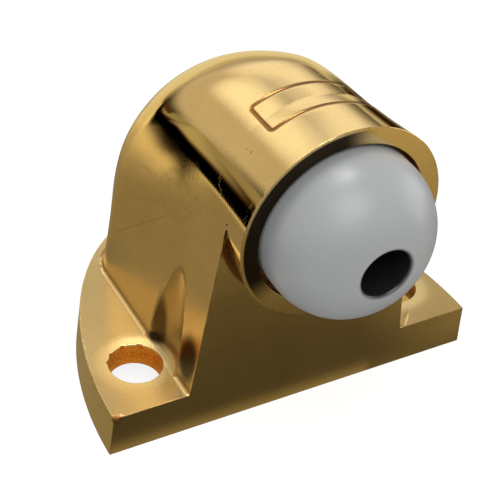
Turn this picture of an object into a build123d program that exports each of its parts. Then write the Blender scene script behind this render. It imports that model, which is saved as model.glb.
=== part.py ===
from build123d import *
from math import acos, asin, atan2, degrees, hypot, sin, sqrt, tan
import os

# Elbow door stop: a hollow brass casting on a half-oval foot, with a rubber bumper screwed into its mouth.
# Millimetres, +Z up, the bumper faces -Y. Depths are measured back from the ground front face of the foot,
# and everything is moved at the end so that the origin lies on the floor, under the middle of the part.

# Foot
foot_width = 50.8
foot_depth = 35.8
foot_height = 5.9
foot_lean = 0.35
ear_thickness = 3.2
rim_width = 2.3
foot_chamfer = 0.2

# Leg and neck of the elbow
leg_half_width = 15.1
axis_height = 30.7
mouth_radius = 12.85
neck_radius = 11.45
nose_reach = 4.3
neck_depth = 12.0
neck_steps = 4
nose_steps = 3
mouth_chamfer = 0.2
leg_wall = 3.6
core_reach = 22.0
core_rise = 21.2

# Crown: the dome that rounds the elbow off at the back
bend_depth = 4.6
crown_half_width = 20.4
crown_height = 16.7
crown_reach = 29.8
crown_rise = 0.05
crown_flare = 2.8
flare_steps = 4

# Bumper socket in the mouth
socket_depth = 6.8
web_thickness = 6.4
socket_gap = 0.5

# Screw holes in the ears and the pockets that clear the screw heads
hole_spacing = 37.3
hole_depth = 7.6
hole_radius = 3.27
pocket_radius = 5.35
pocket_height = 30.0
cove_radius = 0.6

# Bumper
bumper_radius = 10.2
bumper_straight = 1.3
bumper_crown = 8.2
well_radius = 3.05
well_lip = 0.5
bumper_floor = 3.0

# Bumper screw
screw_radius = 2.0
screw_bite = 5.8
head_radius = 2.75
head_height = 2.0
head_chamfer = 0.4
slot_width = 0.9
slot_depth = 0.9
screw_hole_gap = 0.15

# Sizes that follow from the ones above
mouth_plane = -nose_reach
foot_half = foot_width / 2
socket_radius = bumper_radius + socket_gap
socket_floor = socket_depth - nose_reach
web_back = socket_floor + web_thickness
dome_start = mouth_plane - bumper_straight
underside_cut = foot_height - ear_thickness
hole_x = hole_spacing / 2
roof_height = axis_height - socket_radius - leg_wall
head_seat = socket_floor - bumper_floor
head_front = head_seat - head_height


def nose_radius(depth):
    """The nose and neck narrow towards the back, quickly at the mouth and then ever more gently."""
    left = max(neck_depth - depth, 0) / (neck_depth - mouth_plane)
    return neck_radius + (mouth_radius - neck_radius) * left**2


def arch_side(foot, radius):
    """The straight flank of an arch: its inward lean and the height where it meets the round top."""
    rise = axis_height - foot_height
    reach = hypot(foot, rise)
    angle = atan2(rise, -foot) - asin(radius / reach)
    run = sqrt(reach**2 - radius**2)
    return 1 / tan(angle), foot_height + run * sin(angle)


def arch_face(depth, foot, radius):
    """The front-view outline of the elbow at one depth: two leaning flanks under a round top."""
    lean, top = arch_side(foot, radius)
    bottom_half = foot - foot_height * lean
    top_half = foot + (top - foot_height) * lean
    right = Edge.make_line((bottom_half, depth, 0), (top_half, depth, top))
    over = Edge.make_three_point_arc(
        (top_half, depth, top), (0, depth, axis_height + radius), (-top_half, depth, top)
    )
    left = Edge.make_line((-top_half, depth, top), (-bottom_half, depth, 0))
    base = Edge.make_line((-bottom_half, depth, 0), (bottom_half, depth, 0))
    return Face(Wire([right, over, left, base]))


def arch_run(start, shrink):
    """The arch carried straight back from a depth to behind the crown."""
    face = arch_face(start, leg_half_width - shrink, neck_radius - shrink)
    return extrude(face, amount=foot_depth, dir=(0, 1, 0))


def neck():
    """The front of the elbow, whose round top narrows smoothly from the front face to the neck."""
    depths = [neck_depth * step / neck_steps for step in range(neck_steps + 1)]
    return loft([arch_face(depth, leg_half_width, nose_radius(depth)) for depth in depths])


def dome():
    """The crown's skin: half an oval in plan, flared at the floor and closing over the bend."""
    rise = axis_height + nose_radius(bend_depth) + crown_rise - crown_height
    cap = scale(Sphere(1), by=(crown_half_width, crown_reach, rise))
    rings = []
    for step in range(flare_steps + 1):
        level = crown_height * step / flare_steps
        flare = crown_flare * (1 - level / crown_height) ** 2
        rings.append(Pos(0, 0, level) * make_face(Ellipse(crown_half_width + flare, crown_reach).edges()))
    return Pos(0, bend_depth, 0) * (Pos(0, 0, crown_height) * cap + loft(rings))


def behind(depth):
    """All the room behind a depth."""
    return Pos(0, depth + foot_depth, axis_height) * Box(2 * foot_width, 2 * foot_depth, 2 * axis_height)


def elbow():
    """The solid elbow: neck and arch, rounded off at the back by the crown."""
    arch = neck() + arch_run(neck_depth, 0)
    return (arch - behind(bend_depth)) + (arch & behind(bend_depth) & dome())


def along_nose(depth):
    """A plane across the nose at one depth, facing the back."""
    return Plane(origin=(0, depth, axis_height), x_dir=(1, 0, 0), z_dir=(0, 1, 0))


def bar(radius, start, end):
    """A round bar on the nose axis between two depths."""
    return extrude(along_nose(start) * Circle(radius), amount=end - start)


def nose():
    """The round nose that stands out of the front face, turned about its axis, its mouth's edge broken."""
    depths = [mouth_plane * (1 - step / nose_steps) for step in range(nose_steps + 1)]
    side = [(nose_radius(depth), depth) for depth in depths]
    ends = Polyline(side[-1], (0, 0), (0, mouth_plane), side[0])
    half = Pos(0, 0, axis_height) * make_face([Spline(*side), ends])
    solid = revolve(half, Axis((0, 0, axis_height), (0, 1, 0)), 360)
    return chamfer(solid.faces().sort_by(Axis.Y)[0].edges(), mouth_chamfer)


def foot_outline(half_width, depth, front, level):
    """The foot's plan: a straight front edge and half an oval behind it."""
    front_half = half_width * sqrt(1 - (front / depth) ** 2)
    side = degrees(asin(front / depth))
    oval = EllipticalCenterArc((0, 0), half_width, depth, side, arc_size=180 - 2 * side)
    edge = Line((-front_half, front), (front_half, front))
    return Pos(0, 0, level) * make_face([edge, oval])


def foot():
    """The solid foot plate, a little smaller at its top than on the floor, its top edge broken."""
    on_floor = foot_outline(foot_half, foot_depth, 0, 0)
    on_top = foot_outline(foot_half - foot_lean, foot_depth - foot_lean, 0, foot_height)
    plate = loft([on_floor, on_top], ruled=True)
    oval = plate.faces().sort_by(Axis.Z)[-1].edges().sort_by(Axis.Y)[-1]
    return chamfer(oval, foot_chamfer)


def screw_places():
    """The two screw holes, one in each ear."""
    return [Pos(side * hole_x, hole_depth, 0) for side in (-1, 1)]


def core_rooms():
    """What the casting core leaves open from below: the leg, the room under the nose and the ears."""
    width = 2 * leg_half_width
    bend = Plane(origin=(-leg_half_width, bend_depth, crown_height), x_dir=(0, 1, 0), z_dir=(1, 0, 0))
    quarter = make_face(Ellipse(core_reach, core_rise).edges())
    low = Pos(core_reach / 2, -crown_height / 2) * Rectangle(core_reach, crown_height)
    leg = arch_run(web_back, leg_wall) & extrude(bend * (quarter + low), amount=width)
    depth = web_back - leg_wall
    below_roof = Pos(0, leg_wall + depth / 2, roof_height / 2) * Box(width, depth, roof_height)
    under_nose = arch_run(leg_wall, leg_wall) & below_roof
    outline = foot_outline(foot_half - rim_width, foot_depth - rim_width, rim_width, 0)
    return [leg, under_nose, extrude(outline, amount=underside_cut)]


def coved(body):
    """The body with a small cove where each flank stands on the foot."""
    joints = [
        edge
        for edge in body.edges().filter_by_position(Axis.Z, foot_height, foot_height)
        if edge.bounding_box().size.X < cove_radius and edge.center().Y > cove_radius
    ]
    return fillet(joints, cove_radius)


def stop_body():
    """The brass casting: foot, leg, crown and nose in one piece."""
    body = coved(foot() + elbow()) + nose()
    for place in screw_places():
        body -= place * Pos(0, 0, foot_height) * extrude(Circle(pocket_radius), amount=pocket_height)
    for room in core_rooms():
        body -= room
    body -= bar(socket_radius, mouth_plane, socket_floor)
    body -= bar(screw_radius, socket_floor, web_back)
    for place in screw_places():
        body -= place * extrude(Circle(hole_radius), amount=foot_height)
    return body


def rubber_bumper():
    """The bumper: a full round dome with a deep well for the screw, turned about the nose axis."""
    middle = bumper_radius - bumper_crown
    swing = degrees(acos((well_radius - middle) / bumper_crown))
    crown = CenterArc((middle, dome_start), bumper_crown, -swing, swing)
    hole = screw_radius + screw_hole_gap
    back = [(bumper_radius, socket_floor), (hole, socket_floor), (hole, head_seat), (well_radius, head_seat)]
    half = make_face([crown, Polyline(crown @ 1, *back, crown @ 0)])
    lip = half.vertices().sort_by(Axis.Y)[0]
    half = Pos(0, 0, axis_height) * fillet(lip, well_lip)
    return revolve(half, Axis((0, 0, axis_height), (0, 1, 0)), 360)


def bumper_screw():
    """The slotted screw that holds the bumper in its socket."""
    head = bar(head_radius, head_front, head_seat)
    head = chamfer(head.faces().sort_by(Axis.Y)[0].edges(), head_chamfer)
    slot = Pos(0, head_front + slot_depth / 2, axis_height) * Box(2 * head_radius, slot_depth, slot_width)
    shank = bar(screw_radius, head_seat, socket_floor + screw_bite)
    return head - slot + shank


pieces = {
    "stop_body": stop_body(),
    "rubber_bumper": rubber_bumper(),
    "bumper_screw": bumper_screw(),
}
boxes = [piece.bounding_box() for piece in pieces.values()]
middle_depth = (min(box.min.Y for box in boxes) + max(box.max.Y for box in boxes)) / 2
os.makedirs("parts", exist_ok=True)
for name, piece in pieces.items():
    export_step(Pos(0, -middle_depth, 0) * piece, f"parts/{name}.step")
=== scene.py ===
import math

import bmesh
import bpy
import numpy as np
from mathutils import Matrix, Vector


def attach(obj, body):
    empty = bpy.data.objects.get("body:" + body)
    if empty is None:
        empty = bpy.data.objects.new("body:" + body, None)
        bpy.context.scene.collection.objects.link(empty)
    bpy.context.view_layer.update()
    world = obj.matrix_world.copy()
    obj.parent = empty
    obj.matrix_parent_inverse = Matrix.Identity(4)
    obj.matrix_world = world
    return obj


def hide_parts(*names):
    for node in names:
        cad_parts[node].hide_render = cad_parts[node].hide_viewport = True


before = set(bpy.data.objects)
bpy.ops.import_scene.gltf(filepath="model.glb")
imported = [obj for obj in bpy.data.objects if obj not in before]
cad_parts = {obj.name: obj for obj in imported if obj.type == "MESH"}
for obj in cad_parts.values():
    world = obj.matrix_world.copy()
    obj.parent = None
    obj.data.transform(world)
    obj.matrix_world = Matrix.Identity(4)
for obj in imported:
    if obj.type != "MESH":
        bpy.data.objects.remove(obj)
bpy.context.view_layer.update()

# Sizes of the stop in millimetres, as the solids have them. Depths are measured back from the
# ground front face of the foot; MIDDLE_DEPTH shifts them to the part's own origin.
MM = 0.001
MIDDLE_DEPTH = 11.0788
FOOT_HALF, FOOT_DEPTH, FOOT_HEIGHT, FOOT_LEAN = 25.4, 35.8, 5.9, 0.35
EAR_RECESS, RIM_WIDTH = 2.7, 2.3
LEG_HALF, AXIS_HEIGHT, LEG_WALL = 15.1, 30.7, 3.6
MOUTH_RADIUS, NECK_RADIUS, MOUTH_PLANE, NECK_DEPTH = 12.85, 11.45, -4.3, 12.0
BEND_DEPTH, CROWN_HALF, CROWN_HEIGHT, CROWN_REACH = 4.6, 20.4, 16.7, 29.8
CROWN_RISE, CROWN_FLARE = 0.05, 2.8
CORE_REACH, CORE_RISE = 22.0, 21.2
SOCKET_RADIUS, SOCKET_FLOOR, WEB_BACK, ROOF_HEIGHT = 10.7, 2.5, 8.9, 16.4
HOLE_X, HOLE_DEPTH, HOLE_RADIUS, POCKET_RADIUS = 18.65, 7.6, 3.27, 5.35
SCREW_RADIUS = 2.0

# Roundings left by casting and polishing. The crown's crease is rounder at the shoulder than on top.
CREASE_ROUND, COVE = 0.8, 0.35
SHOULDER_HEIGHT, SHOULDER_REACH, SHOULDER_EXTRA = 36.5, 4.5, 1.3

# Small marks: the plain frame sunk into the top of the nose, the dish and the chips around each
# screw hole, a nick at the left front corner and a notch beside the right ear.
FRAME_ANGLE, FRAME_FRONT, FRAME_BACK = math.radians(33), 2.3, 7.6
FRAME_CORNER, FRAME_LINE, FRAME_SINK = 0.5, 0.22, 0.1
DISH_DEPTH, DISH_REACH = 0.12, 1.2
CHIP_DEPTH, CHIP_WIDTH, CHIP_TURNS = 0.28, 0.11, (0.45, 0.9, 1.5, 2.15)
NICK_X, NICK_Z, NICK_DEPTH = -24.6, 5.8, 0.2
NOTCH_X, NOTCH_Y, NOTCH_DEPTH = 16.9, 1.3, 0.1

# Slivers that keep faces in one plane apart, rooms that run a little into each other, and the
# distance that stands for nowhere near.
POCKET_SLIVER, NOSE_SLIVER = 0.02, 0.05
ROOM_OVERLAP, SCREW_OVERLAP = 0.5, 0.3
FAR_OFF = 9.0

# The net's spacing, how fast the dome sinks away in front of the bend, how alike the directions on
# both sides of an edge are where it still counts as round, and how wide a hollow gets brown,
# as dirt and painted shade.
CELL = 0.42
BEND_SINK = 0.35
ROUND_EDGE = 0.97
CREVICE_REACH = 0.9


def nose_radius(y):
    """The nose and neck narrow towards the back, quickly at the mouth and then ever more gently."""
    left = np.clip((NECK_DEPTH - y) / (NECK_DEPTH - MOUTH_PLANE), 0, 1)
    return NECK_RADIUS + (MOUTH_RADIUS - NECK_RADIUS) * left**2


def both(a, b, r):
    """Where two forms overlap, with a round edge of radius r."""
    return np.minimum(-r, np.maximum(a, b)) + np.hypot(np.maximum(r + a, 0), np.maximum(r + b, 0))


def either(a, b, r):
    """Two forms joined, with a cove of radius r."""
    return np.maximum(r, np.minimum(a, b)) - np.hypot(np.maximum(r - a, 0), np.maximum(r - b, 0))


def arch(x, z, radius, foot):
    """Distance to a round top standing on two leaning flanks."""
    rise = AXIS_HEIGHT - FOOT_HEIGHT
    angle = math.atan2(rise, -foot) - np.arcsin(radius / math.hypot(foot, rise))
    across, up = np.abs(x), z - AXIS_HEIGHT
    flank = across * np.sin(angle) - up * np.cos(angle)
    along = across * np.cos(angle) + up * np.sin(angle)
    return np.where(along > 0, np.hypot(across, up), flank) - radius


def oval(x, y, half, depth):
    """Distance to a wall on an oval outline, to first order."""
    share = np.sqrt((x / half) ** 2 + (y / depth) ** 2) + 1e-9
    return (share - 1) * share / (np.hypot(x / half**2, y / depth**2) + 1e-9)


def dome(x, y, z):
    """Distance to the crown's skin, to first order."""
    half = CROWN_HALF + CROWN_FLARE * np.maximum(1 - z / CROWN_HEIGHT, 0) ** 2
    rise = AXIS_HEIGHT + nose_radius(BEND_DEPTH) + CROWN_RISE - CROWN_HEIGHT
    back, up = np.maximum(y - BEND_DEPTH, 0), np.maximum(z - CROWN_HEIGHT, 0)
    share = np.sqrt((x / half) ** 2 + (back / CROWN_REACH) ** 2 + (up / rise) ** 2) + 1e-9
    slope = np.sqrt((x / half**2) ** 2 + (back / CROWN_REACH**2) ** 2 + (up / rise**2) ** 2) + 1e-9
    return (share - 1) * share / slope - BEND_SINK * np.maximum(BEND_DEPTH - y, 0)


def core(x, y, z, bore):
    """Distance to the rooms left by the casting core: leg, space under the nose, ears and screw hole."""
    inner = arch(x, z, NECK_RADIUS - LEG_WALL, LEG_HALF - LEG_WALL)
    bend = oval(np.maximum(z - CROWN_HEIGHT, 0), np.maximum(y - BEND_DEPTH, 0), CORE_RISE, CORE_REACH)
    leg = np.maximum(np.maximum(inner, bend), WEB_BACK - y)
    end = y - WEB_BACK - ROOM_OVERLAP
    under = np.maximum(np.maximum(inner, LEG_WALL - y), np.maximum(z - ROOF_HEIGHT, end))
    ears = np.maximum(oval(x, y, FOOT_HALF - RIM_WIDTH, FOOT_DEPTH - RIM_WIDTH), RIM_WIDTH - y)
    ears = np.maximum(ears, z - EAR_RECESS)
    half = (WEB_BACK - SOCKET_FLOOR) / 2 + SCREW_OVERLAP
    screw = np.maximum(bore - SCREW_RADIUS, np.abs(y - (SOCKET_FLOOR + WEB_BACK) / 2) - half)
    return np.minimum(np.minimum(leg, under), np.minimum(ears, screw))


def frame_line(x, y, z):
    """Distance along the nose's skin to the line of the plain frame on its top."""
    across = np.abs(np.arctan2(x, z - AXIS_HEIGHT)) * NECK_RADIUS
    a = across - FRAME_ANGLE * NECK_RADIUS + FRAME_CORNER
    b = np.abs(y - (FRAME_FRONT + FRAME_BACK) / 2) - (FRAME_BACK - FRAME_FRONT) / 2 + FRAME_CORNER
    outside = np.hypot(np.maximum(a, 0), np.maximum(b, 0)) + np.minimum(np.maximum(a, b), 0)
    return np.where(z > AXIS_HEIGHT + 5, np.abs(outside - FRAME_CORNER), FAR_OFF)


def casting(p):
    """Signed distance to the brass casting."""
    x, y, z = p[..., 0], p[..., 1], p[..., 2]
    bore = np.hypot(x, z - AXIS_HEIGHT)
    hole = np.hypot(np.abs(x) - HOLE_X, y - HOLE_DEPTH)
    soft = CREASE_ROUND * (1 + SHOULDER_EXTRA * np.exp(-(((z - SHOULDER_HEIGHT) / SHOULDER_REACH) ** 2)))
    elbow = both(arch(x, z, nose_radius(y), LEG_HALF), dome(x, y, z), soft)
    lean = FOOT_LEAN * z / FOOT_HEIGHT
    foot = np.maximum(oval(x, y, FOOT_HALF - lean, FOOT_DEPTH - lean), z - FOOT_HEIGHT)
    body = np.maximum(either(elbow, foot, COVE), -y)
    body = np.maximum(body, np.minimum(POCKET_RADIUS - hole, z - FOOT_HEIGHT - POCKET_SLIVER))
    inside = np.clip(y, 0, NOSE_SLIVER)
    nose = np.maximum(np.maximum(bore - nose_radius(y) + inside, y - 1), MOUTH_PLANE - y)
    body = np.minimum(body, nose)
    body = np.maximum(body, -np.maximum(bore - SOCKET_RADIUS, y - SOCKET_FLOOR))
    body = np.maximum(body, -core(x, y, z, bore))
    return np.maximum(np.maximum(body, HOLE_RADIUS - hole), -z)


def worn_casting(p):
    """The casting with the small marks that its making and its use have left."""
    x, y, z = p[..., 0], p[..., 1], p[..., 2]
    groove = FRAME_SINK * np.exp(-((frame_line(x, y, z) / FRAME_LINE) ** 2))
    out, along = np.abs(x) - HOLE_X, y - HOLE_DEPTH
    hole, turn = np.hypot(out, along), np.arctan2(along, out)
    dish = DISH_DEPTH * np.exp(-(((hole - HOLE_RADIUS) / DISH_REACH) ** 2))
    dish = dish * np.clip(z - EAR_RECESS - 1, 0, 1)
    chips = sum(np.exp(-(((turn - place) / CHIP_WIDTH) ** 4)) for place in CHIP_TURNS)
    chips = CHIP_DEPTH * chips * np.clip(z - FOOT_HEIGHT + 1.2, 0, 1)
    nick = np.exp(-((x - NICK_X) ** 2 + (y / 0.7) ** 2) / 0.2 - ((z - NICK_Z) / 0.3) ** 2)
    slant, high = x - y - (NOTCH_X - NOTCH_Y), z - FOOT_HEIGHT
    notch = np.exp(-((slant / 0.25) ** 2) - ((x - NOTCH_X) / 0.7) ** 2 - (high / 0.4) ** 2)
    body = casting(p) + groove + dish + NICK_DEPTH * nick + NOTCH_DEPTH * notch
    return np.maximum(body, np.where(hole < POCKET_RADIUS, HOLE_RADIUS + chips - hole, -FAR_OFF))


def close_up(p):
    """How fine the skin has to be at each point: true where a small mark lies."""
    x, y, z = p[..., 0], p[..., 1], p[..., 2]
    groove = frame_line(x, y, z) < 3 * FRAME_LINE
    hole = np.hypot(np.abs(x) - HOLE_X, y - HOLE_DEPTH)
    rim = (np.abs(hole - HOLE_RADIUS) < 0.6) & (np.abs(z - FOOT_HEIGHT + 0.5) < 1)
    nick = (np.abs(x - NICK_X + 0.3) < 1) & (y < 1.2) & (z > 5)
    notch = (np.abs(x - NOTCH_X) < 1.4) & (np.abs(x - y - (NOTCH_X - NOTCH_Y)) < 0.9) & (z > 5.2)
    return groove | rim | nick | notch


def slope(form, p, step=0.01):
    """The direction in which a form grows, at each point."""
    out = np.empty_like(p)
    for axis in range(3):
        shift = np.zeros(3)
        shift[axis] = step
        out[..., axis] = (form(p + shift) - form(p - shift)) / (2 * step)
    return out


def unit(v):
    """Directions of length 1."""
    return v / (np.linalg.norm(v, axis=-1, keepdims=True) + 1e-12)


def skin(form, low, high, cell):
    """A closed net of triangles over a form, its corners set on the form's own edges and corners."""
    count = np.ceil((high - low) / cell).astype(int) + 1
    axes = [low[a] + cell * np.arange(count[a]) for a in range(3)]
    grid = np.stack(np.meshgrid(*axes, indexing="ij"), -1)
    value = form(grid)
    inside = value < 0
    cells = count - 1
    crossings, owners, quads = [], [], []
    for axis in range(3):
        a = [slice(None)] * 3
        b = [slice(None)] * 3
        a[axis], b[axis] = slice(0, -1), slice(1, None)
        cross = np.argwhere(inside[tuple(a)] != inside[tuple(b)])
        start, low_value = grid[tuple(cross.T)], value[tuple(cross.T)]
        beyond = cross.copy()
        beyond[:, axis] += 1
        end, high_value = grid[tuple(beyond.T)], value[tuple(beyond.T)]
        for _ in range(5):
            share = np.clip(low_value / (low_value - high_value), 0.02, 0.98)[:, None]
            middle = start + share * (end - start)
            between = form(middle)
            same = (between < 0) == (low_value < 0)
            start, low_value = np.where(same[:, None], middle, start), np.where(same, between, low_value)
            end, high_value = np.where(same[:, None], end, middle), np.where(same, high_value, between)
        share = np.clip(low_value / (low_value - high_value + 1e-12), 0, 1)[:, None]
        corners = []
        for d1, d2 in ((0, 0), (1, 0), (1, 1), (0, 1)):
            c = cross.copy()
            c[:, (axis + 1) % 3] -= d1
            c[:, (axis + 2) % 3] -= d2
            corners.append(np.ravel_multi_index(tuple(c.T), cells))
        quad = np.stack(corners, 1)
        crossings.append(start + share * (end - start))
        owners.append(quad)
        flip = ~inside[tuple(cross.T)]
        quads.append(np.where(flip[:, None], quad[:, ::-1], quad))
    point, owner, quad = np.concatenate(crossings), np.concatenate(owners), np.concatenate(quads)
    lean = unit(slope(form, point))
    used, place = np.unique(owner, return_inverse=True)
    place = place.reshape(owner.shape)

    def gather(v):
        """The sum over all the crossings around each cell."""
        return np.bincount(place.ravel(), np.repeat(v, 4), len(used))

    total = gather(np.ones(len(point)))
    centre = np.stack([gather(point[:, a]) for a in range(3)], 1) / total[:, None]
    offset = (lean * point).sum(1)
    square, right = np.empty((len(used), 3, 3)), np.empty((len(used), 3))
    for a in range(3):
        for b in range(a, 3):
            square[:, a, b] = square[:, b, a] = gather(lean[:, a] * lean[:, b])
        right[:, a] = gather(lean[:, a] * offset)
    hold = 0.02 * total
    square += hold[:, None, None] * np.eye(3)
    right += hold[:, None] * centre
    corner = np.linalg.solve(square, right[..., None])[..., 0]
    floor = low + cell * np.stack(np.unravel_index(used, cells), 1)
    corner = np.clip(corner, floor - 0.1 * cell, floor + 1.1 * cell)
    quad = np.searchsorted(used, quad)
    first = np.abs(form((corner[quad[:, 0]] + corner[quad[:, 2]]) / 2))
    other = np.abs(form((corner[quad[:, 1]] + corner[quad[:, 3]]) / 2))
    turned = np.where((other < first)[:, None], np.roll(quad, -1, 1), quad)
    return corner, np.concatenate([turned[:, [0, 1, 2]], turned[:, [0, 2, 3]]])


def settle(form, points, cell):
    """Points moved onto a form."""
    for _ in range(3):
        lean = slope(form, points)
        step = form(points)[:, None] * lean / ((lean**2).sum(1, keepdims=True) + 1e-9)
        points = points - np.clip(step, -0.3 * cell, 0.3 * cell)
    return points


def finer(points, faces, chosen):
    """The net with each triangle near the chosen places cut into smaller ones, twice."""
    net = bmesh.new()
    mesh = bpy.data.meshes.new("net")
    mesh.from_pydata(points, [], faces)
    net.from_mesh(mesh)
    for _ in range(2):
        middles = np.array([(e.verts[0].co + e.verts[1].co) / 2 for e in net.edges])
        picked = [edge for edge, near in zip(net.edges, chosen(middles)) if near]
        bmesh.ops.subdivide_edges(net, edges=picked, cuts=1, use_single_edge=True)
        bmesh.ops.triangulate(net, faces=[face for face in net.faces if len(face.verts) > 3])
        net.edges.ensure_lookup_table()
    net.to_mesh(mesh)
    net.free()
    points = np.empty(3 * len(mesh.vertices))
    mesh.vertices.foreach_get("co", points)
    faces = np.empty(3 * len(mesh.polygons), dtype=np.int32)
    mesh.polygons.foreach_get("vertices", faces)
    bpy.data.meshes.remove(mesh)
    return points.reshape(-1, 3), faces.reshape(-1, 3)


def crevices(form, points, reach):
    """How deep in a hollow each point lies, from 0 in the open to 1."""
    return np.clip(1 - form(points + reach * unit(slope(form, points))) / reach, 0, 1)


def corner_normals(form, points, faces):
    """Each triangle corner's normal: the form's own, and the face's side of it on a sharp edge."""
    at = points[faces]
    own = unit(slope(form, points))[faces]
    aside = unit(slope(form, at + 0.3 * (at.mean(1, keepdims=True) - at)))
    flat = unit(np.cross(at[:, 1] - at[:, 0], at[:, 2] - at[:, 0]))[:, None, :]
    sharp = (own * aside).sum(-1, keepdims=True) < ROUND_EDGE
    normal = np.where(sharp, aside, own)
    return np.where((normal * flat).sum(-1, keepdims=True) < 0.5, flat, normal)


def mesh_object(name, points, faces, normals=None, **shares):
    """A smooth piece, with its own corner directions and values at its points where they are given."""
    mesh = bpy.data.meshes.new(name)
    mesh.from_pydata(points.tolist(), [], faces.tolist())
    for label, share in shares.items():
        mesh.attributes.new(label, "FLOAT", "POINT").data.foreach_set("value", share)
    mesh.polygons.foreach_set("use_smooth", [True] * len(mesh.polygons))
    if normals is not None:
        mesh.normals_split_custom_set(normals.reshape(-1, 3).tolist())
    mesh.update()
    piece = bpy.data.objects.new(name, mesh)
    bpy.context.scene.collection.objects.link(piece)
    return piece


low = np.array([-FOOT_HALF - 1, MOUTH_PLANE - 1, -1.0])
high = np.array([FOOT_HALF + 1, FOOT_DEPTH + 1, AXIS_HEIGHT + MOUTH_RADIUS + 1])
points, faces = skin(casting, low, high, CELL)
points = settle(casting, points, CELL)
points, faces = finer(points, faces, close_up)
points = settle(worn_casting, points, CELL)
normals = corner_normals(worn_casting, points, faces)
x, y, z = points.T
sunk = np.exp(-((frame_line(x, y, z) / FRAME_LINE) ** 2))
nicked = 0.9 * np.exp(-((x - NICK_X) ** 2 + y**2) / 0.4 - ((z - NICK_Z + 0.1) / 0.5) ** 2)
hollow = np.maximum(crevices(worn_casting, points, CREVICE_REACH), np.maximum(sunk, nicked))
points[:, 1] -= MIDDLE_DEPTH
body = mesh_object("brass_casting", points * MM, faces, normals, crevice=hollow)


# The bumper is turned from its profile: radius across, depth along the nose. Its back edge is broken.
BUMPER_RADIUS, DOME_START, BUMPER_CROWN, BACK_BREAK = 10.2, -5.6, 8.2, 0.3
WELL_RADIUS, WELL_LIP, HEAD_SEAT, SCREW_HOLE = 3.05, 0.5, -0.5, 2.15


def arc(across, depth, radius, start, end, count):
    """Points along an arc, its angles in degrees."""
    turn = np.radians(np.linspace(start, end, count))
    return np.stack([across + radius * np.cos(turn), depth + radius * np.sin(turn)], 1)


def bumper_profile():
    """Half the bumper's section: straight side, crown, rounded lip, well, screw hole and back."""
    middle = BUMPER_RADIUS - BUMPER_CROWN
    across = WELL_RADIUS + WELL_LIP - middle
    drop = math.sqrt((BUMPER_CROWN - WELL_LIP) ** 2 - across**2)
    end = -math.degrees(math.atan2(drop, across))
    crown = arc(middle, DOME_START, BUMPER_CROWN, 0, end, 60)
    lip = arc(WELL_RADIUS + WELL_LIP, DOME_START - drop, WELL_LIP, end, -180, 9)[1:]
    well = np.stack([np.full(12, WELL_RADIUS), np.linspace(lip[-1, 1], HEAD_SEAT, 13)[1:]], 1)
    side = np.stack([np.full(8, BUMPER_RADIUS), np.linspace(SOCKET_FLOOR, DOME_START, 9)[:-1]], 1)
    hole = [[SCREW_HOLE, HEAD_SEAT], [SCREW_HOLE, SOCKET_FLOOR]]
    back = np.array(hole + [[BUMPER_RADIUS - BACK_BREAK, SOCKET_FLOOR]])
    return np.concatenate([side, crown, lip, well, back])


def turned(name, profile, around):
    """A closed ring turned about the nose axis from a closed profile."""
    turn = np.linspace(0, 2 * math.pi, around, endpoint=False)
    across = profile[:, 0][:, None]
    y = np.repeat(profile[:, 1][:, None], around, 1) - MIDDLE_DEPTH
    points = np.stack([across * np.cos(turn), y, AXIS_HEIGHT + across * np.sin(turn)], -1).reshape(-1, 3)
    i, j = np.meshgrid(np.arange(len(profile)), np.arange(around), indexing="ij")
    i2, j2 = (i + 1) % len(profile), (j + 1) % around
    corners = [i * around + j, i2 * around + j, i2 * around + j2, i * around + j2]
    piece = mesh_object(name, points * MM, np.stack(corners, -1).reshape(-1, 4))
    piece.data.set_sharp_from_angle(angle=math.radians(50))
    return piece


bumper = turned("moulded_bumper", bumper_profile(), 192)


def build(tree, kind, inputs=(), **settings):
    """A node with its settings, and its inputs set to values or joined to other nodes' outputs."""
    made = tree.nodes.new(kind)
    for key, value in settings.items():
        setattr(made, key, value)
    for key, value in dict(inputs).items():
        if isinstance(value, bpy.types.NodeSocket):
            tree.links.new(value, made.inputs[key])
        else:
            made.inputs[key].default_value = value
    return made


def maths(tree, operation, *values):
    """One step of arithmetic."""
    return build(tree, "ShaderNodeMath", enumerate(values), operation=operation).outputs[0]


def plus(tree, total, *others):
    """The sum of several values."""
    for other in others:
        total = maths(tree, "ADD", total, other)
    return total


def times(tree, total, *others):
    """The product of several values."""
    for other in others:
        total = maths(tree, "MULTIPLY", total, other)
    return total


def most(tree, largest, *others):
    """The largest of several values."""
    for other in others:
        largest = maths(tree, "MAXIMUM", largest, other)
    return largest


def rest(tree, share):
    """What a share leaves of the whole."""
    return maths(tree, "SUBTRACT", 1.0, share)


def distance(tree, *steps):
    """How long a way is whose steps stand square to each other."""
    return maths(tree, "SQRT", plus(tree, *[times(tree, step, step) for step in steps]))


def ramp(tree, factor, low, high, low_out=0.0, high_out=1.0, smooth=True):
    """A factor spread from one range to another."""
    kind = "SMOOTHSTEP" if smooth else "LINEAR"
    inputs = {"Value": factor, "From Min": low, "From Max": high, "To Min": low_out, "To Max": high_out}
    return build(tree, "ShaderNodeMapRange", inputs, interpolation_type=kind).outputs[0]


def mixed(tree, factor, a, b):
    """A colour between two others."""
    return build(tree, "ShaderNodeMix", {0: factor, 6: a, 7: b}, data_type="RGBA").outputs[2]


def new_group(name, ins, outs):
    """An empty node group with its named inputs and outputs."""
    group = bpy.data.node_groups.new(name, "ShaderNodeTree")
    for label, kind, value in ins:
        socket = group.interface.new_socket(label, in_out="INPUT", socket_type=kind)
        if value is not None:
            socket.default_value = value
    for label in outs:
        group.interface.new_socket(label, in_out="OUTPUT", socket_type="NodeSocketFloat")
    return group, group.nodes.new("NodeGroupInput"), group.nodes.new("NodeGroupOutput")


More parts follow.
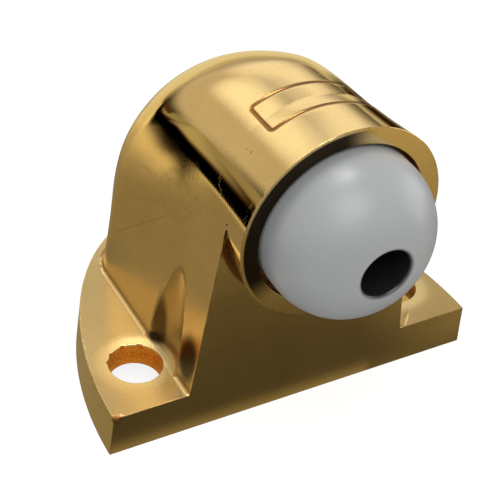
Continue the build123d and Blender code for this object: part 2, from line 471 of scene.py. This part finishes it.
def fine_grain():
    """Cast or moulded grain: a height that varies over tenths of a millimetre, and slow broad patches."""
    ins = [("Coordinate", "NodeSocketVector", None), ("Grain Scale", "NodeSocketFloat", 5000.0)]
    ins += [("Patch Scale", "NodeSocketFloat", 90.0)]
    group, start, end = new_group("fine_grain", ins, ["Height", "Patch"])
    at = start.outputs["Coordinate"]
    for label, size, detail in (("Height", "Grain Scale", 2.0), ("Patch", "Patch Scale", 4.0)):
        inputs = {"Vector": at, "Scale": start.outputs[size], "Detail": detail}
        noise = build(group, "ShaderNodeTexNoise", inputs)
        group.links.new(noise.outputs["Fac"], end.inputs[label])
    return group


def hair_scratches():
    """Thin, nearly straight scratches, broken here and there."""
    ins = [("Coordinate", "NodeSocketVector", None), ("Spacing", "NodeSocketFloat", 160.0)]
    ins += [("Share", "NodeSocketFloat", 0.1)]
    group, start, end = new_group("hair_scratches", ins, ["Mask"])
    lines = []
    for turn, stretch in ((0.5, 14.0), (-0.9, 20.0)):
        inputs = {"Vector": start.outputs["Coordinate"], "Rotation": (turn, 0.7 * turn, turn)}
        spun = build(group, "ShaderNodeMapping", inputs).outputs[0]
        thin = build(group, "ShaderNodeMapping", {"Vector": spun, "Scale": (1.0, stretch, stretch)})
        inputs = {"Vector": thin.outputs[0], "Scale": start.outputs["Spacing"], "Detail": 1.0}
        noise = build(group, "ShaderNodeTexNoise", inputs).outputs["Fac"]
        off = maths(group, "ABSOLUTE", maths(group, "SUBTRACT", noise, 0.5))
        where = build(group, "ShaderNodeTexNoise", {"Vector": spun, "Scale": 70.0, "Detail": 1.0})
        other = maths(group, "ABSOLUTE", maths(group, "SUBTRACT", where.outputs["Fac"], 0.42))
        part = maths(group, "GREATER_THAN", start.outputs["Share"], other)
        lines.append(times(group, ramp(group, off, 0.0, 0.012, 1.0, 0.0), part))
    group.links.new(most(group, *lines), end.inputs["Mask"])
    return group


GRAIN, SCRATCHES = fine_grain(), hair_scratches()


def material(name):
    """A new material with one surface shader."""
    made = bpy.data.materials.new(name)
    made.use_nodes = True
    tree = made.node_tree
    tree.nodes.clear()
    surface = tree.nodes.new("ShaderNodeBsdfPrincipled")
    out = tree.nodes.new("ShaderNodeOutputMaterial")
    tree.links.new(surface.outputs[0], out.inputs["Surface"])
    return made, tree, surface


def place(tree):
    """Where a point lies, and the same across, back from the foot's front face and up, in millimetres."""
    at = tree.nodes.new("ShaderNodeTexCoord").outputs["Object"]
    x, y, z = build(tree, "ShaderNodeSeparateXYZ", {0: at}).outputs[:3]
    y = maths(tree, "MULTIPLY_ADD", y, 1 / MM, MIDDLE_DEPTH)
    return at, times(tree, x, 1 / MM), y, times(tree, z, 1 / MM)


def from_hole(tree, x, y):
    """Distance from the middle of the nearer screw hole."""
    across = maths(tree, "SUBTRACT", maths(tree, "ABSOLUTE", x), HOLE_X)
    return distance(tree, across, maths(tree, "SUBTRACT", y, HOLE_DEPTH))


def behind_front(tree, y):
    """Nothing on the ground front face, and all behind it."""
    return ramp(tree, y, 0.02, 0.3)


# Colours of the brass, and of its painted highlight and painted dark spots.
GOLD_DEEP, GOLD_PALE = (0.75, 0.54, 0.235, 1), (0.92, 0.68, 0.315, 1)
HAIR_BROWN, LINE_BROWN = (0.45, 0.27, 0.08, 1), (0.35, 0.2, 0.06, 1)
BORE_DEEP, BORE_BRIGHT = (0.7, 0.2, 0.02, 1), (1.0, 0.5, 0.07, 1)
CREVICE_BROWN, CAST_BROWN = (0.26, 0.1, 0.02, 1), (0.4, 0.26, 0.09, 1)
HIGHLIGHT_GOLD, DARK_LOW_GOLD = (1.0, 0.84, 0.45, 1), (0.42, 0.36, 0.19, 1)
PAINTED_DARK = (0.024, 0.017, 0.01, 1)


def polished_brass():
    """Polished cast brass: warm and finely grained, rougher and darker towards the bottom.

    It is brown in its drilled holes and in its crevices, partly dirt and partly painted shade.
    It has a painted highlight around the holes and painted dark spots of shade and dark reflection.
    """
    made, tree, surface = material("polished_brass")
    at, x, y, z = place(tree)
    inputs = {"Coordinate": at, "Grain Scale": 5200.0, "Patch Scale": 110.0}
    grain, patch = build(tree, "ShaderNodeGroup", inputs, node_tree=GRAIN).outputs[:2]
    inputs = {"Coordinate": at, "Spacing": 150.0, "Share": 0.015}
    hairs = build(tree, "ShaderNodeGroup", inputs, node_tree=SCRATCHES).outputs["Mask"]
    mottle = times(tree, plus(tree, patch, grain), 0.5)
    line = flank_scratch(tree, x, y, z, grain)
    hole = from_hole(tree, x, y)
    drilled = times(tree, ramp(tree, hole, 3.5, 3.75, 1.0, 0.0), ramp(tree, z, 5.4, 5.7, 1.0, 0.0))
    bored = mixed(tree, ramp(tree, mottle, 0.42, 0.58, smooth=False), BORE_DEEP, BORE_BRIGHT)
    # Brown in the hollows, partly dirt and partly painted shade in the cove and the frame groove.
    crevice = build(tree, "ShaderNodeAttribute", attribute_name="crevice").outputs["Fac"]
    dirt_and_shade = times(tree, crevice, ramp(tree, grain, 0.2, 0.6, 0.7, 1.1))
    dirt_and_shade = ramp(tree, dirt_and_shade, 0.07, 0.45, 0.0, 0.9)
    # Painted highlight: paler gold around each hole; the extra roughness there is wear.
    hole_wear_and_highlight = times(tree, ramp(tree, hole, 3.3, 5.8, 1.0, 0.0), rest(tree, drilled))
    cast = times(tree, ramp(tree, hole, 5.37, 5.5, 1.0, 0.0), ramp(tree, z, 5.94, 6.0))
    # Darker gold low on the part, above the flange and behind the front face.
    darker_low = times(tree, ramp(tree, z, 6.5, 15.5, 0.5, 0.0), ramp(tree, z, 6.0, 6.2), behind_front(tree, y))
    gold = mixed(tree, ramp(tree, mottle, 0.3, 0.7, smooth=False), GOLD_DEEP, GOLD_PALE)
    for share, colour in (
        (times(tree, hairs, 0.3), HAIR_BROWN),
        (times(tree, line, 0.55), LINE_BROWN),
        (drilled, bored),
        (dirt_and_shade, CREVICE_BROWN),
        (times(tree, hole_wear_and_highlight, 0.5), HIGHLIGHT_GOLD),
        (times(tree, cast, 0.55), CAST_BROWN),
        (darker_low, DARK_LOW_GOLD),
        # Painted dark spots of shade and dark reflection, and the mouth face's painted dark reflection.
        (painted_darkness(tree, x, y, z), PAINTED_DARK),
    ):
        gold = mixed(tree, share, gold, colour)
    tree.links.new(gold, surface.inputs["Base Color"])
    surface.inputs["Metallic"].default_value = 1.0
    rough = plus(tree, ramp(tree, patch, 0.3, 0.7, -0.01, 0.02), ramp(tree, z, 12.0, 26.0, 0.25, 0.05))
    rough = plus(tree, rough, times(tree, most(tree, dirt_and_shade, drilled), 0.25))
    rough = plus(tree, rough, times(tree, hole_wear_and_highlight, 0.08), times(tree, cast, 0.1))
    tree.links.new(rough, surface.inputs["Roughness"])
    edge = build(tree, "ShaderNodeBevel", {"Radius": 0.15 * MM}, samples=6)
    height = maths(tree, "SUBTRACT", grain, most(tree, times(tree, hairs, 0.8), times(tree, line, 2.0)))
    inputs = {"Height": height, "Strength": 0.3, "Distance": 0.01 * MM, "Normal": edge.outputs[0]}
    bump = build(tree, "ShaderNodeBump", inputs)
    tree.links.new(bump.outputs[0], surface.inputs["Normal"])
    return made


# Painted dark spots, for shade and dark reflections in the left pocket and down the right hole, and a few
# small dark marks higher up on the left: middle, radius across and radius upwards, then how dark.
PAINTED_DARK_SPOTS = (
    ((-14.4, 10.8, 6.0), 1.3, 1.4, 0.85),
    ((-14.2, 10.5, 8.2), 1.5, 6.8, 0.75),
    ((-14.4, 2.0, 9.8), 2.8, 4.6, 0.96),
    ((-13.5, 5.9, 11.5), 0.35, 5.0, 0.4),
    ((-8.93, 2.96, 38.54), 0.14, 0.14, 0.6),
    ((-8.9, 2.12, 38.7), 0.18, 0.13, 0.6),
    ((-12.1, 6.43, 27.95), 0.2, 0.13, 0.6),
    ((-11.97, 3.36, 30.44), 0.12, 0.12, 0.5),
    ((18.6, 7.6, 3.6), 5.0, 2.6, 0.95),
)


def painted_darkness(tree, x, y, z):
    """Painted dark: the spots, and a dark reflection painted on one side of the mouth's flat face."""
    spots = []
    for (a, b, c), wide, tall, dark in PAINTED_DARK_SPOTS:
        sides = ((x, a, wide), (y, b, wide), (z, c, tall))
        steps = [maths(tree, "MULTIPLY_ADD", axis, 1 / size, -middle / size) for axis, middle, size in sides]
        spots.append(ramp(tree, distance(tree, *steps), 0.45, 1.0, dark, 0.0))
    spots = times(tree, most(tree, *spots), behind_front(tree, y))
    # The upper left of the mouth's flat face is painted near black: a painted dark reflection.
    up = maths(tree, "SUBTRACT", z, AXIS_HEIGHT)
    bore = distance(tree, x, up)
    aim = maths(tree, "DIVIDE", maths(tree, "MULTIPLY_ADD", x, -0.86, times(tree, up, 0.5)), bore)
    rim = ramp(tree, bore, MOUTH_RADIUS - 0.5, MOUTH_RADIUS - 0.2, 1.0, 0.0)
    flat = ramp(tree, y, MOUTH_PLANE + 0.1, MOUTH_PLANE + 0.4, 1.0, 0.0)
    return most(tree, spots, times(tree, ramp(tree, aim, 0.25, 0.6, 0.0, 0.985), rim, flat))


def flank_scratch(tree, x, y, z, noise):
    """One long fine scratch across the left flank."""
    level = plus(tree, z, times(tree, y, 0.94))
    off = maths(tree, "ABSOLUTE", maths(tree, "SUBTRACT", level, 35.354))
    run = times(tree, ramp(tree, y, 6.08, 8.08), ramp(tree, y, 23.08, 24.58, 1.0, 0.0))
    left = maths(tree, "LESS_THAN", x, -10.0)
    broken = ramp(tree, noise, 0.3, 0.5, 0.3, 1.0)
    return times(tree, ramp(tree, off, 0.03, 0.09, 1.0, 0.0), run, left, broken)


def grey_rubber():
    """Moulded grey rubber: slightly uneven, with a few dark specks, and painted black inside the well for
    its shade.
    """
    made, tree, surface = material("grey_rubber")
    at, x, _, z = place(tree)
    inputs = {"Coordinate": at, "Grain Scale": 4200.0, "Patch Scale": 160.0}
    grain, patch = build(tree, "ShaderNodeGroup", inputs, node_tree=GRAIN).outputs[:2]
    specks = build(tree, "ShaderNodeTexVoronoi", {"Vector": at, "Scale": 900.0})
    chance = build(tree, "ShaderNodeSeparateColor", {0: specks.outputs["Color"]}).outputs[0]
    speck = ramp(tree, specks.outputs["Distance"], 0.05, 0.09, 1.0, 0.0)
    speck = times(tree, speck, maths(tree, "GREATER_THAN", chance, 0.985), 0.5)
    grey = mixed(tree, patch, (0.31, 0.325, 0.33, 1), (0.35, 0.362, 0.364, 1))
    grey = mixed(tree, speck, grey, (0.16, 0.17, 0.18, 1))
    bore = distance(tree, x, maths(tree, "SUBTRACT", z, AXIS_HEIGHT))
    out_of_well_shade = ramp(tree, bore, WELL_RADIUS + 0.01, WELL_RADIUS + 0.55)
    # Painted shade: the inside of the well is painted near black.
    grey = mixed(tree, out_of_well_shade, (0.012, 0.012, 0.012, 1), grey)
    tree.links.new(grey, surface.inputs["Base Color"])
    tree.links.new(ramp(tree, patch, 0.3, 0.7, 0.3, 0.38), surface.inputs["Roughness"])
    bump = build(tree, "ShaderNodeBump", {"Height": grain, "Strength": 0.2, "Distance": 0.02 * MM})
    tree.links.new(bump.outputs[0], surface.inputs["Normal"])
    return made


def plated_screw():
    """Dull plated steel with driver scratches."""
    made, tree, surface = material("plated_screw")
    at = tree.nodes.new("ShaderNodeTexCoord").outputs["Object"]
    inputs = {"Coordinate": at, "Grain Scale": 5000.0, "Patch Scale": 400.0}
    patch = build(tree, "ShaderNodeGroup", inputs, node_tree=GRAIN).outputs["Patch"]
    inputs = {"Coordinate": at, "Spacing": 300.0, "Share": 0.1}
    hairs = build(tree, "ShaderNodeGroup", inputs, node_tree=SCRATCHES).outputs["Mask"]
    tone = mixed(tree, patch, (0.42, 0.4, 0.37, 1), (0.55, 0.53, 0.5, 1))
    tree.links.new(tone, surface.inputs["Base Color"])
    surface.inputs["Metallic"].default_value = 1.0
    tree.links.new(ramp(tree, patch, 0.3, 0.7, 0.28, 0.42), surface.inputs["Roughness"])
    bump = build(tree, "ShaderNodeBump", {"Height": hairs, "Strength": 0.3, "Distance": 0.02 * MM})
    tree.links.new(bump.outputs[0], surface.inputs["Normal"])
    return made


body.data.materials.append(polished_brass())
bumper.data.materials.append(grey_rubber())
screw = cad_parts["bumper_screw"]
screw.data.materials.clear()
screw.data.materials.append(plated_screw())
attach(body, "root")
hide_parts("stop_body")
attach(bumper, "root")
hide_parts("rubber_bumper")


# Floor: plain and pale. Seen in polished metal it is a small lit table top with a darker room around.
FLOOR_HALF = 3
corners = [(-FLOOR_HALF, -FLOOR_HALF, 0), (FLOOR_HALF, -FLOOR_HALF, 0)]
corners += [(FLOOR_HALF, FLOOR_HALF, 0), (-FLOOR_HALF, FLOOR_HALF, 0)]
floor_mesh = bpy.data.meshes.new("floor")
floor_mesh.from_pydata(corners, [], [(0, 1, 2, 3)])
floor = bpy.data.objects.new("floor", floor_mesh)
bpy.context.scene.collection.objects.link(floor)

# How warm the table top looks close to the part, further off, and where its light runs out.
NEAR_TINT, FAR_TINT, SHADE_TINT = (1.0, 0.83, 0.46, 1), (1.0, 0.87, 0.5, 1), (1.0, 0.42, 0.1, 1)


def table_light(tree):
    """The table top as polished metal shows it: its colour and its brightness at each place."""
    _, x, deep, _ = place(tree)
    y = maths(tree, "SUBTRACT", deep, MIDDLE_DEPTH)
    away = distance(tree, x, y)
    bearing = maths(tree, "DIVIDE", x, away)
    # Behind the part: lit in the middle, dark to the left of a slanting line, to the right and far off.
    beside = plus(tree, x, maths(tree, "MULTIPLY_ADD", y, 0.2, 38.0))
    beside = maths(tree, "SUBTRACT", beside, ramp(tree, y, 50.0, 54.0, 0.0, 1.5))
    strip = times(tree, ramp(tree, beside, -1.0, 10.0, 0.5, 0.0), ramp(tree, beside, -4.0, -1.0))
    strip = times(tree, strip, ramp(tree, y, 43.0, 49.0))
    near = plus(tree, ramp(tree, away, 56.0, 92.0, 0.3, 0.82, smooth=False), strip)
    beyond = ramp(tree, bearing, -0.71, -0.6, 0.65, 0.05, smooth=False)
    beyond = most(tree, beyond, ramp(tree, away, 200.0, 350.0, 0.0, 0.42))
    beyond = times(tree, beyond, ramp(tree, beside, -60.0, -30.0, 1.0, 0.0))
    left = times(tree, ramp(tree, beside, 0.0, 2.5, 1.0, 0.0), rest(tree, beyond))
    right = times(tree, ramp(tree, bearing, 0.67, 0.73), ramp(tree, away, 55.0, 140.0, 0.55, 0.97))
    far = times(tree, ramp(tree, away, 280.0, 500.0), ramp(tree, bearing, -0.56, -0.5))
    far = times(tree, far, ramp(tree, bearing, -0.3, 0.0, 0.9, 0.3))
    lit = rest(tree, most(tree, left, right, far))
    behind = times(tree, near, lit)
    # In front of the part: brighter further off and to the right.
    before = plus(tree, ramp(tree, y, -75.0, -15.0, 0.37, 0.075), ramp(tree, x, 12.0, 30.0, 0.0, 0.14))
    front = ramp(tree, y, -13.5, -10.5, 1.0, 0.0)
    inputs = {"Factor": front, "A": behind, "B": before}
    tone = build(tree, "ShaderNodeMix", inputs, data_type="FLOAT").outputs[0]
    # Under the foot it is dark, but for what comes down the screw holes.
    wide, long = maths(tree, "DIVIDE", x, FOOT_HALF), maths(tree, "DIVIDE", deep, FOOT_DEPTH)
    share = plus(tree, times(tree, wide, wide), times(tree, long, long))
    outside = most(tree, ramp(tree, share, 0.85, 0.95), ramp(tree, long, 0.0, 0.04, 1.0, 0.02))
    down_hole = ramp(tree, from_hole(tree, x, deep), 4.5, 5.5, 0.55, 0.0)
    tone = most(tree, times(tree, tone, outside), down_hole)
    warm = most(tree, ramp(tree, lit, 0.0, 0.3), front)
    tint = mixed(tree, ramp(tree, away, 75.0, 120.0), NEAR_TINT, FAR_TINT)
    return mixed(tree, warm, SHADE_TINT, tint), tone


def by_ray(tree, kind, others, chosen):
    """One shader for rays of one kind, and another for all others."""
    ray = tree.nodes.new("ShaderNodeLightPath").outputs[kind]
    return build(tree, "ShaderNodeMixShader", {0: ray, 1: others, 2: chosen}).outputs[0]


def added(tree, a, b):
    """Two shaders one over the other."""
    return build(tree, "ShaderNodeAddShader", {0: a, 1: b}).outputs[0]


def floor_material():
    """White to the camera, with the part's soft shadow; a lit table top to polished metal."""
    made = bpy.data.materials.new("pale_floor")
    made.use_nodes = True
    tree = made.node_tree
    tree.nodes.clear()
    tint, tone = table_light(tree)
    table = build(tree, "ShaderNodeEmission", {"Color": tint, "Strength": tone}).outputs[0]
    pale = build(tree, "ShaderNodeBsdfDiffuse", {"Color": (0.8, 0.8, 0.8, 1)}).outputs[0]
    white = build(tree, "ShaderNodeEmission", {"Color": (1, 1, 1, 1), "Strength": 0.85}).outputs[0]
    shadow = build(tree, "ShaderNodeBsdfDiffuse", {"Color": (0.2, 0.2, 0.2, 1)}).outputs[0]
    shown = by_ray(tree, "Is Glossy Ray", pale, table)
    shown = by_ray(tree, "Is Camera Ray", shown, added(tree, white, shadow))
    out = tree.nodes.new("ShaderNodeOutputMaterial")
    tree.links.new(shown, out.inputs["Surface"])
    return made


floor_mesh.materials.append(floor_material())

# Soft lamps that polished metal shows: where they stand, how sharply they end and how bright they are.
GLOWS = (((0.39, 0.83, 0.4), 0.92, 0.5), ((-0.14, 0.78, 0.62), 0.93, 0.65))


def background(tree, colour, strength):
    """A shader for the room's walls."""
    inputs = {"Color": (*colour, 1), "Strength": strength}
    return build(tree, "ShaderNodeBackground", inputs).outputs[0]


def studio_world():
    """White to the camera. Polished metal shows a warm room, dark low down, with two soft lamps behind."""
    world = bpy.data.worlds.new("studio")
    bpy.context.scene.world = world
    world.use_nodes = True
    tree = world.node_tree
    tree.nodes.clear()
    at = tree.nodes.new("ShaderNodeTexCoord").outputs["Generated"]
    side, _, up = build(tree, "ShaderNodeSeparateXYZ", {0: at}).outputs[:3]
    low = times(tree, ramp(tree, up, -0.02, 0.12, 1.0, 0.0), ramp(tree, side, -0.7, -0.5, smooth=False))
    low = times(tree, low, ramp(tree, side, -0.3, 0.0, 0.9, 0.3))
    dusk = times(tree, ramp(tree, up, 0.0, 0.22, 0.85, 0.0, smooth=False), ramp(tree, side, 0.58, 0.67))
    high = times(tree, ramp(tree, up, 0.4, 0.55, 0.0, 0.3), ramp(tree, side, -0.1, 0.2))
    wall = times(tree, maths(tree, "SUBTRACT", 0.64, high), rest(tree, most(tree, low, dusk)))
    glow = []
    for aim, edge, strength in GLOWS:
        inputs = {0: at, 1: Vector(aim).normalized()}
        near = build(tree, "ShaderNodeVectorMath", inputs, operation="DOT_PRODUCT").outputs["Value"]
        glow.append(ramp(tree, near, edge, 0.995, 0.0, strength))
    warm_wall = background(tree, (1, 0.9, 0.7), wall)
    lamps = background(tree, (0.95, 1, 1.05), plus(tree, *glow))
    shown = by_ray(tree, "Is Glossy Ray", background(tree, (1, 1, 1), 0.5), added(tree, warm_wall, lamps))
    shown = by_ray(tree, "Is Camera Ray", shown, background(tree, (1, 1, 1), 1.0))
    out = tree.nodes.new("ShaderNodeOutputWorld")
    tree.links.new(shown, out.inputs["Surface"])


studio_world()


def lamp(name, place, target, size, power):
    """A round soft lamp that points at a target."""
    light = bpy.data.lights.new(name, "AREA")
    light.shape = "DISK"
    light.size = size
    light.energy = power
    made = bpy.data.objects.new(name, light)
    made.location = place
    made.rotation_euler = (Vector(target) - Vector(place)).to_track_quat("-Z", "Y").to_euler()
    bpy.context.scene.collection.objects.link(made)


lamp("key", (-0.1, -0.3, 0.5), (0, 0, 0.02), 0.45, 1.6)
lamp("overhead", (0.01, 0.1, 0.38), (0, -0.018, 0.04), 0.13, 0.52)
lamp("side", (0.34, -0.05, 0.07), (0, -0.02, 0.035), 0.3, 0.38)

# Camera at the photograph's angle: turned to the left, looking down, and tilted a little.
AZIMUTH, ELEVATION, ROLL = math.radians(-32.783), math.radians(39.235), math.radians(6.569)
CAMERA_PLACE = (-0.078293, -0.118744, 0.131130)
camera_data = bpy.data.cameras.new("camera")
camera_data.lens = 105.78
camera_data.sensor_width = 36.0
camera_data.clip_start = 0.01
camera = bpy.data.objects.new("camera", camera_data)
flat = math.cos(ELEVATION)
back = Vector((math.sin(AZIMUTH) * flat, -math.cos(AZIMUTH) * flat, math.sin(ELEVATION)))
level = (-back).cross(Vector((0, 0, 1))).normalized()
upright = level.cross(-back)
right = level * math.cos(ROLL) + upright * math.sin(ROLL)
above = upright * math.cos(ROLL) - level * math.sin(ROLL)
turn = Matrix((right, above, back)).transposed().to_4x4()
camera.matrix_world = Matrix.Translation(CAMERA_PLACE) @ turn
bpy.context.scene.collection.objects.link(camera)
bpy.context.scene.camera = camera
bpy.context.scene.view_settings.view_transform = "Standard"
